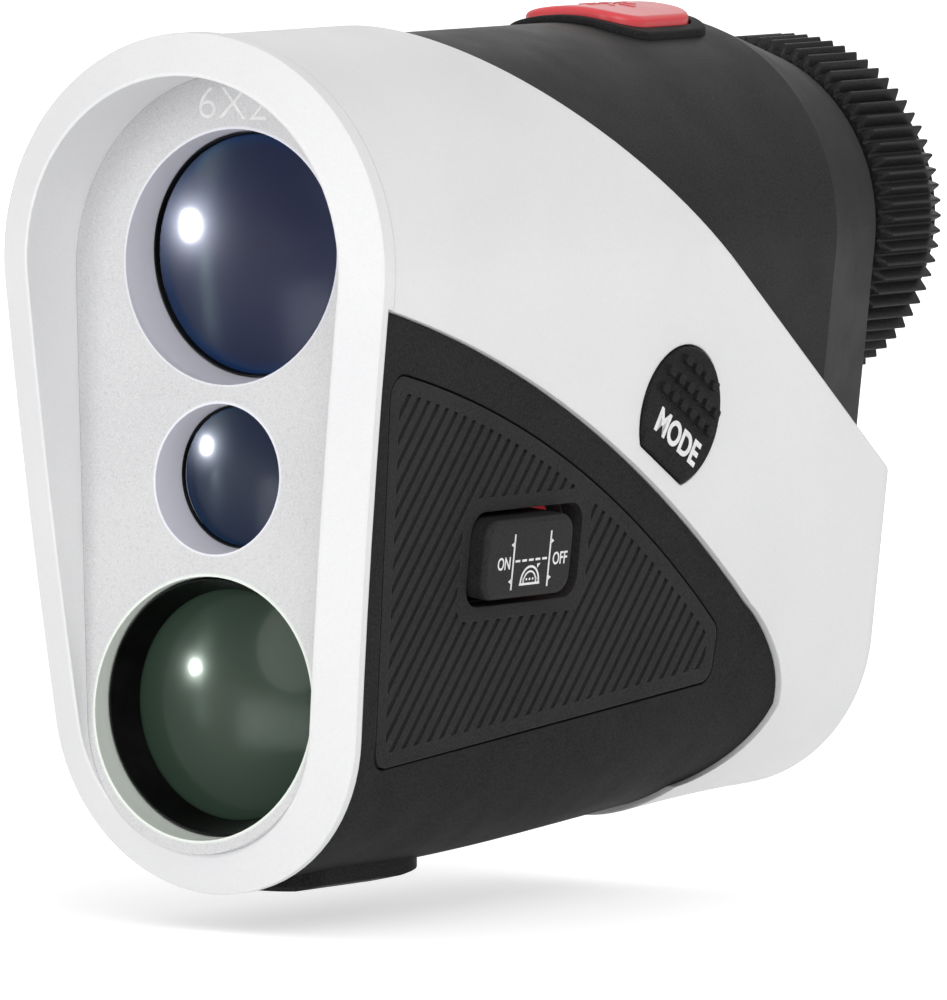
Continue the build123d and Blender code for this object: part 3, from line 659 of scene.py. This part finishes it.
def slider_legend():
    """Slope legend of the slider: two limit lines, a dashed level, an arc scale, ON and OFF."""
    place = flank_matrix(SLIDER_Y, SLIDER_CLIMB, SLIDER_FACE - INK_THICKNESS / 2)
    line = 0.2
    middle, base = 0.3, -2.15
    shapes = []
    for side in (-1, 1):
        x = middle + side * 2.75
        shapes.append(bar(x, -0.25, line, 4.8))
        for height in (1.25, -1.9):
            shapes.append([(x, height - 0.28), (x + side * 0.5, height), (x, height + 0.28)])
    for dash in range(5):
        shapes.append(bar(-1.75 + dash * 1.02, -0.2, 0.7, line))
    shapes.append(bar(middle, base - line / 2, 3.1, line))
    shapes.append(band(middle, base, 1.28, 1.48))
    shapes.append(band(middle, base, 0.88, 1.04))
    for dot in range(5):
        shapes.append(bar(middle + (dot - 2) * 0.48, base + 0.3, line, line))
    shapes.append([(1.35, -0.95), (1.75, -0.55), (1.25, -0.6)])
    meshes = [solidified(shapes, INK_THICKNESS, place)]
    for text, x, width in (("ON", -3.85, 1.9), ("OFF", 4.7, 2.2)):
        centre = Matrix.Translation((x * MM, -0.3 * MM, INK_THICKNESS / 2 * MM))
        meshes.append(fitted(text, width, 1.1, INK_THICKNESS, place @ centre, 0.06))
    piece("slider_legend", joined(meshes), "slope_slider", "white_plastic", WHITE_INK)


def panel_marking():
    """Magnification and aperture in thin silver ink above the objective."""
    right = Vector((1, 0, 0))
    up = Vector((0, PANEL_SLOPE, 1)).normalized()
    height = 30.25
    place = from_axes(right, up, right.cross(up), at(0.05, PANEL_Y + PANEL_SLOPE * height, height))
    mesh = fitted("6X21", 8.4, 2.7, 2 * INK_THICKNESS, place, -0.05)
    piece("panel_marking", mesh, "housing", "silver_panel", SILVER_INK)


RAYS = 8
EMBLEM_SUNK = 0.22


def burst_emblem():
    """Generic burst of short rays embossed on the fire button's dome."""
    low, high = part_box("fire_button")
    middle = (low.y + high.y) / 2
    shapes = []
    for ray in range(RAYS):
        turn = 2 * math.pi * ray / RAYS
        reach = 1.75 if ray % 2 else 2.1
        shapes.append(bar(reach * math.cos(turn), reach * math.sin(turn), 1.5, 0.38, turn))
    shapes.append(band(0, 0, 0.42, 0.8, 0, 2 * math.pi - 1e-3, 24))
    mesh = solidified(shapes, 0.3, Matrix.Identity(4))
    form = bmesh.new()
    form.from_mesh(mesh)
    bmesh.ops.subdivide_edges(form, edges=form.edges, cuts=2, use_grid_fill=True)
    crown_z = at(0, 0, CROWN_Z).z
    for vertex in form.verts:
        x, y, lift = vertex.co
        radius = high.z - crown_z + (lift - EMBLEM_SUNK * MM)
        vertex.co = Vector((x, middle + y, crown_z + math.sqrt(radius ** 2 - x ** 2)))
    piece("burst_emblem", sealed(form), "fire_button", "red_plastic")


RIDGE_COUNT = 3
RIDGE_PITCH = 1.3
RIDGE_SUNK = 0.02


def door_grip():
    """Low ridges near the top of the battery door, for the thumb."""
    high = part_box("battery_door")[1]
    place = rear_matrix((-1, 0, 0), high.y - RIDGE_SUNK * MM, high.z - 3.4 * MM)
    ridges = [bar(0, -RIDGE_PITCH * step, 7.0 - 1.2 * step, 0.55) for step in range(RIDGE_COUNT)]
    piece("door_grip", solidified(ridges, 0.32, place), "battery_door", "white_plastic")


mode_legend()
slider_legend()
panel_marking()
burst_emblem()
door_grip()


# ---------------------------------------------------------------- eyepiece
RING_TEETH = 72
RING_TIP = 15.6
RING_ROOT = 14.62
RING_BORE = 12.65
RING_LIP = 10.8
RING_CHAMFER = 0.45
RING_WALL = 0.8

# A tooth's outline: the share of the pitch, and the share of the height there.
TOOTH_SHAPE = ((0.00, 1.0), (0.07, 0.97), (0.20, 0.66), (0.33, 0.30), (0.43, 0.03),
               (0.57, 0.03), (0.67, 0.30), (0.80, 0.66), (0.93, 0.97))


def lofted(loops):
    """Closed ring-shaped solid through loops of the same number of points."""
    form = bmesh.new()
    rows = [[form.verts.new(point) for point in loop] for loop in loops]
    for first, second in zip(rows, rows[1:] + rows[:1]):
        for step in range(len(first)):
            following = (step + 1) % len(first)
            form.faces.new((first[step], first[following], second[following], second[step]))
    return sealed(form)


def toothed_loop(y, tip, root):
    """Loop of teeth with narrow tips about the optical axis."""
    loop = []
    for tooth in range(RING_TEETH):
        for share, height in TOOTH_SHAPE:
            turn = 2 * math.pi * (tooth + share) / RING_TEETH
            radius = root + (tip - root) * height
            loop.append(at(radius * math.cos(turn), y, OPTICAL_Z + radius * math.sin(turn)))
    return loop


def diopter_ring():
    """Rubber focusing ring with crisp chamfered teeth."""
    start, end = ends_along(*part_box("diopter_ring"))
    end_tip, end_root = RING_ROOT + 0.1, RING_ROOT - 0.35
    stations = [
        (start, end_tip, end_root),
        (start + RING_CHAMFER, RING_TIP, RING_ROOT),
        (end - RING_CHAMFER, RING_TIP, RING_ROOT),
        (end, end_tip, end_root),
        (end, RING_LIP + 0.3, RING_LIP + 0.3),
        (end - 0.3, RING_LIP, RING_LIP),
        (end - RING_WALL, RING_LIP, RING_LIP),
        (end - RING_WALL, RING_BORE, RING_BORE),
        (start, RING_BORE, RING_BORE),
    ]
    mesh = lofted([toothed_loop(*station) for station in stations])
    ring = piece("diopter_ring_teeth", mesh, "diopter", "ring_rubber", sharp=math.radians(28))
    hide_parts("diopter_ring")


TICK_STEP = 9
TICKS_EACH_WAY = 5


def diopter_scale():
    """Short ticks on the rear of the ring, with a longer one at zero."""
    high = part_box("diopter_ring")[1]
    shapes = []
    for tick in range(-TICKS_EACH_WAY, TICKS_EACH_WAY + 1):
        turn = math.radians(90 + tick * TICK_STEP)
        reach, length = (14.1, 0.55) if tick else (13.95, 0.9)
        shapes.append(bar(reach * math.cos(turn), reach * math.sin(turn), length, 0.22, turn))
    place = rear_matrix((1, 0, 0), high.y - INK_THICKNESS / 2 * MM, at(0, 0, OPTICAL_Z).z)
    piece("diopter_scale", solidified(shapes, INK_THICKNESS, place), "diopter", "white_plastic", WHITE_INK)


# The cup's section: radius, and distance along Y from the ring, first outside and then inside.
CUP_OUTSIDE = [(13.2, 0.0), (13.35, 0.5), (13.3, 0.95), (12.95, 1.2), (12.95, 1.4), (13.3, 1.65),
               (13.35, 2.0), (13.2, 2.4), (12.85, 2.75), (12.35, 2.97), (11.9, 2.97), (11.55, 2.75)]
CUP_INSIDE = [(11.3, 2.3), (11.0, 1.7), (10.8, 1.2), (10.8, 0.0)]


def eyecup():
    """Soft rubber cup with a rounded lip and a bellows groove."""
    start = ends_along(*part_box("eyecup"))[0]
    profile = [(radius, start + along) for radius, along in CUP_OUTSIDE + CUP_INSIDE]
    cup = piece("eyecup_lip", lathe(profile, OPTICAL_Z), "diopter", "eyecup_rubber", sharp=math.radians(60))
    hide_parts("eyecup")


EYEPIECE_GLASS = {"eye_lens": (1.6, 1.2), "field_lens": (1.2, 1.2)}
EYEPIECE_GLASS_RADIUS = 9.95


def eyepiece_glass():
    """The two lenses of the sliding cell, from the sags of their front and rear faces."""
    for node, (front_sag, rear_sag) in EYEPIECE_GLASS.items():
        front, rear = ends_along(*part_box(node))
        outline = arc_profile(EYEPIECE_GLASS_RADIUS, front, front_sag)
        outline += reversed(arc_profile(EYEPIECE_GLASS_RADIUS, rear, -rear_sag))
        glass = piece(node + "_glass", lathe(outline, OPTICAL_Z), "eyepiece", "lens_glass", sharp=LENS_SHARP)
        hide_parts(node)


diopter_ring()
diopter_scale()
eyecup()
eyepiece_glass()


# ---------------------------------------------------------------- floor and light
FLOOR_DROP = 3.2
FLOOR_HALF_SIZE = 6.0

# The floor's glow: distance from the middle in metres, and strength there. Rays that do not come
# from the camera see less of it.
GLOW_NEAR = (0.08, 0.49)
GLOW_FAR = (0.5, 0.66)
GLOW_UNSEEN = 0.75

# Bearing and elevation in degrees, diameter in metres, power in watts.
STUDIO_LIGHTS = {
    "key": (48, 28, 0.9, 4.1),
    "front": (-14, 10, 0.5, 2.45),
    "back": (-146, 14, 0.8, 0.85),
}
STUDIO_DISTANCE = 1.2
STUDIO_AIM = (0, 45, 0)

# Bearing and elevation in degrees, width and height in metres, power in watts, colour. A light
# without a height is round.
LENS_LIGHTS = {
    "lens_spark": (-46, 0.8, 0.034, None, 1.1, (1.0, 1.0, 1.0)),
    "lens_fill": (-19, -11, 0.25, 0.12, 0.42, (1.0, 1.0, 1.0)),
    "lens_strip": (-43.5, 0, 0.008, 0.24, 0.16, (0.76, 1.0, 0.86)),
}
LENS_DISTANCE = 0.6
LENS_AIM = (0, 8, 0)

# Strength of the surroundings' light at the horizon and towards the ceiling.
ROOM_LEVEL = 0.30
CEILING_LEVEL = 0.92
CEILING_EDGE = 0.55


def make_floor():
    """Plain pale floor below the object, which floats over its shadow. It glows to white further away."""
    form = bmesh.new()
    bmesh.ops.create_grid(form, x_segments=8, y_segments=8, size=FLOOR_HALF_SIZE)
    mesh = bpy.data.meshes.new("floor")
    form.to_mesh(mesh)
    form.free()
    floor = bpy.data.objects.new("floor", mesh)
    floor.location = (0, 0, cad_low[2] - FLOOR_DROP * MM)
    bpy.context.scene.collection.objects.link(floor)
    n = Nodes("floor")
    rays = n.add("ShaderNodeLightPath").outputs
    colour = n.mix(n.span(n.noise(0.2), 0.3, 0.7), grey(0.90), grey(0.88))
    # Painted shade in reflections: glossy rays see the floor painted dark grey, standing in for flags.
    colour = n.mix(rays["Is Glossy Ray"], colour, grey(0.35))
    reach = n.add("ShaderNodeVectorMath", operation="LENGTH")
    n.feed(reach.inputs[0], n.coords)
    glow = n.span(reach.outputs["Value"], GLOW_NEAR[0], GLOW_FAR[0], GLOW_NEAR[1], GLOW_FAR[1], smooth=True)
    glow = n.math("MULTIPLY", glow, n.span(rays["Is Camera Ray"], 0.0, 1.0, GLOW_UNSEEN, 1.0))
    mesh.materials.append(n.set(Base_Color=colour, Roughness=0.9, Specular_IOR_Level=0.1,
                                Emission_Color=grey(1.0), Emission_Strength=glow))


def soft_light(name, place, size, power, aim, height=None):
    """Round area light, or an oblong one of some height, at a place in metres from the datum."""
    data = bpy.data.lights.new(name, "AREA")
    data.shape = "DISK"
    data.size = size
    if height:
        data.shape = "RECTANGLE"
        data.size_y = height
    data.energy = power
    light = bpy.data.objects.new(name, data)
    bpy.context.scene.collection.objects.link(light)
    light.location = DATUM + Vector(place)
    direction = at(*aim) - light.location
    light.rotation_euler = direction.to_track_quat("-Z", "Y").to_euler()
    light.visible_camera = False
    return light


def only_for(light, things):
    """Lets a light reach only these things, with nothing else in its way."""
    group = bpy.data.collections.new(light.name + "_group")
    for thing in things:
        group.objects.link(thing)
    light.light_linking.receiver_collection = group
    light.light_linking.blocker_collection = group
    light.data.cycles.use_multiple_importance_sampling = False


def make_world():
    """White surroundings for the camera, and for the light a dim room with a bright ceiling."""
    world = bpy.data.worlds.new("studio")
    bpy.context.scene.world = world
    world.use_nodes = True
    tree = world.node_tree
    seen = tree.nodes["Background"]
    seen.inputs["Color"].default_value = grey(1.0)
    rays = tree.nodes.new("ShaderNodeLightPath")
    room = tree.nodes.new("ShaderNodeBackground")
    direction = tree.nodes.new("ShaderNodeTexCoord")
    height = tree.nodes.new("ShaderNodeSeparateXYZ")
    tree.links.new(direction.outputs["Generated"], height.inputs[0])
    ceiling = tree.nodes.new("ShaderNodeMapRange")
    ceiling.interpolation_type = "SMOOTHSTEP"
    tree.links.new(height.outputs["Z"], ceiling.inputs["Value"])
    ranges = {"From Min": 0.0, "From Max": CEILING_EDGE, "To Min": ROOM_LEVEL, "To Max": CEILING_LEVEL}
    for key, number in ranges.items():
        ceiling.inputs[key].default_value = number
    tree.links.new(ceiling.outputs[0], room.inputs["Strength"])
    mixer = tree.nodes.new("ShaderNodeMixShader")
    tree.links.new(rays.outputs["Is Camera Ray"], mixer.inputs[0])
    tree.links.new(room.outputs[0], mixer.inputs[1])
    tree.links.new(seen.outputs[0], mixer.inputs[2])
    tree.links.new(mixer.outputs[0], tree.nodes["World Output"].inputs["Surface"])


def polar(azimuth, elevation, distance):
    """Place about the object in metres: azimuth 0 is ahead of the windows, positive to the user's left."""
    turn, climb = math.radians(azimuth), math.radians(elevation)
    flat = math.cos(climb) * distance
    return (math.sin(turn) * flat, -math.cos(turn) * flat, math.sin(climb) * distance)


def make_lights():
    """Three soft lights for everything, and three smaller ones for the front lenses alone."""
    for name, (bearing, elevation, diameter, power) in STUDIO_LIGHTS.items():
        soft_light(name, polar(bearing, elevation, STUDIO_DISTANCE), diameter, power, STUDIO_AIM)
    for name, (bearing, elevation, width, height, power, colour) in LENS_LIGHTS.items():
        light = soft_light(name, polar(bearing, elevation, LENS_DISTANCE), width, power, LENS_AIM, height)
        light.data.color = colour
        only_for(light, front_lenses)


make_floor()
make_world()
make_lights()
